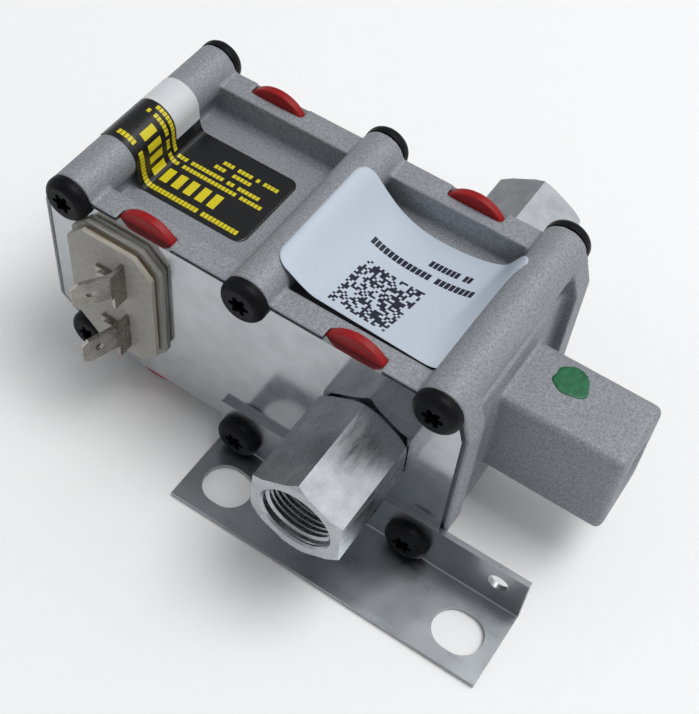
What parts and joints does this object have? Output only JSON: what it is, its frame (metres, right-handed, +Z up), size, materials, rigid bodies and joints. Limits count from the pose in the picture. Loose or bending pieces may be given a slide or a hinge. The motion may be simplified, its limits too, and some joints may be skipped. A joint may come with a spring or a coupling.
{
  "type": "gas valve",
  "caption": "Twin-outlet electric gas safety valve: cast body, plated covers with hexagonal outlets, blade terminals, side inlet boss and slotted mounting bracket.",
  "frame": {"origin": "centre of the bracket's two slots, on the bracket's underside", "axes": "+X along the body towards the inlet boss, +Y from the front outlet towards the rear outlet, +Z up from the bracket base"},
  "size_m": [0.1191, 0.0902, 0.0547],
  "materials": {
    "cast_aluminium": "blasted die casting",
    "zinc_plate": "bright zinc plate",
    "plated_fitting": "bright zinc plate",
    "galvanised": "galvanised sheet",
    "black_screw": "black oxide",
    "silicone": "smooth moulded",
    "board_laminate": "glass laminate",
    "spacer_laminate": "fibre laminate",
    "gasket_fibre": "fibre gasket",
    "nickel": "nickel plate",
    "spring_steel": "rolled strip",
    "bimetal": "rolled strip",
    "heater_wire": "oxidised wire",
    "mica": "pressed mica",
    "disc_rubber": "moulded",
    "bushing_ceramic": "unglazed",
    "dark_label": "printed film",
    "pale_label": "printed sticker",
    "green_paint": "paint dab"
  },
  "bodies": {
    "body": {"valve_body": "cast_aluminium", "front_cover": "zinc_plate", "front_seal": "silicone", "front_outlet_fitting": "plated_fitting", "front_fitting_retainer": "plated_fitting", "front_arm_bracket": "spring_steel", "front_terminal_board": "board_laminate", "front_terminal_spacer": "spacer_laminate", "front_terminal_gasket": "gasket_fibre", "front_terminal_rivets": "nickel", "front_terminal_bushings": "bushing_ceramic", "front_heater_leads": "nickel", "front_upper_terminal": "nickel", "front_lower_terminal": "nickel", "rear_cover": "zinc_plate", "rear_seal": "silicone", "rear_outlet_fitting": "plated_fitting", "rear_fitting_retainer": "plated_fitting", "rear_arm_bracket": "spring_steel", "rear_terminal_board": "board_laminate", "rear_terminal_spacer": "spacer_laminate", "rear_terminal_gasket": "gasket_fibre", "rear_terminal_rivets": "nickel", "rear_terminal_bushings": "bushing_ceramic", "rear_heater_leads": "nickel", "rear_upper_terminal": "nickel", "rear_lower_terminal": "nickel", "front_cover_screws": "black_screw", "bracket_screws": "black_screw", "rear_cover_screws": "black_screw", "mounting_bracket": "galvanised", "warning_label": "dark_label", "id_label": "pale_label", "paint_mark": "green_paint"},
    "front_arm": {"front_bimetal_arm": "bimetal", "front_mica_sleeve": "mica", "front_heater_coil": "heater_wire", "front_valve_disc": "disc_rubber", "front_disc_rivet": "nickel"},
    "rear_arm": {"rear_bimetal_arm": "bimetal", "rear_mica_sleeve": "mica", "rear_heater_coil": "heater_wire", "rear_valve_disc": "disc_rubber", "rear_disc_rivet": "nickel"}
  },
  "joints": [
    {"name": "front_arm_flex", "type": "hinge", "parent": "body", "child": "front_arm", "pos_m": [-0.0538, 0.01849, 0.02895], "axis": [0, 0, 1], "range_deg": [0, 4], "stiffness_Nm_per_rad": 0.05, "springref_deg": -2.86},
    {"name": "rear_arm_flex", "type": "hinge", "parent": "body", "child": "rear_arm", "pos_m": [-0.0538, 0.04831, 0.02895], "axis": [0, 0, -1], "range_deg": [0, 4], "stiffness_Nm_per_rad": 0.05, "springref_deg": -2.86}
  ]
}
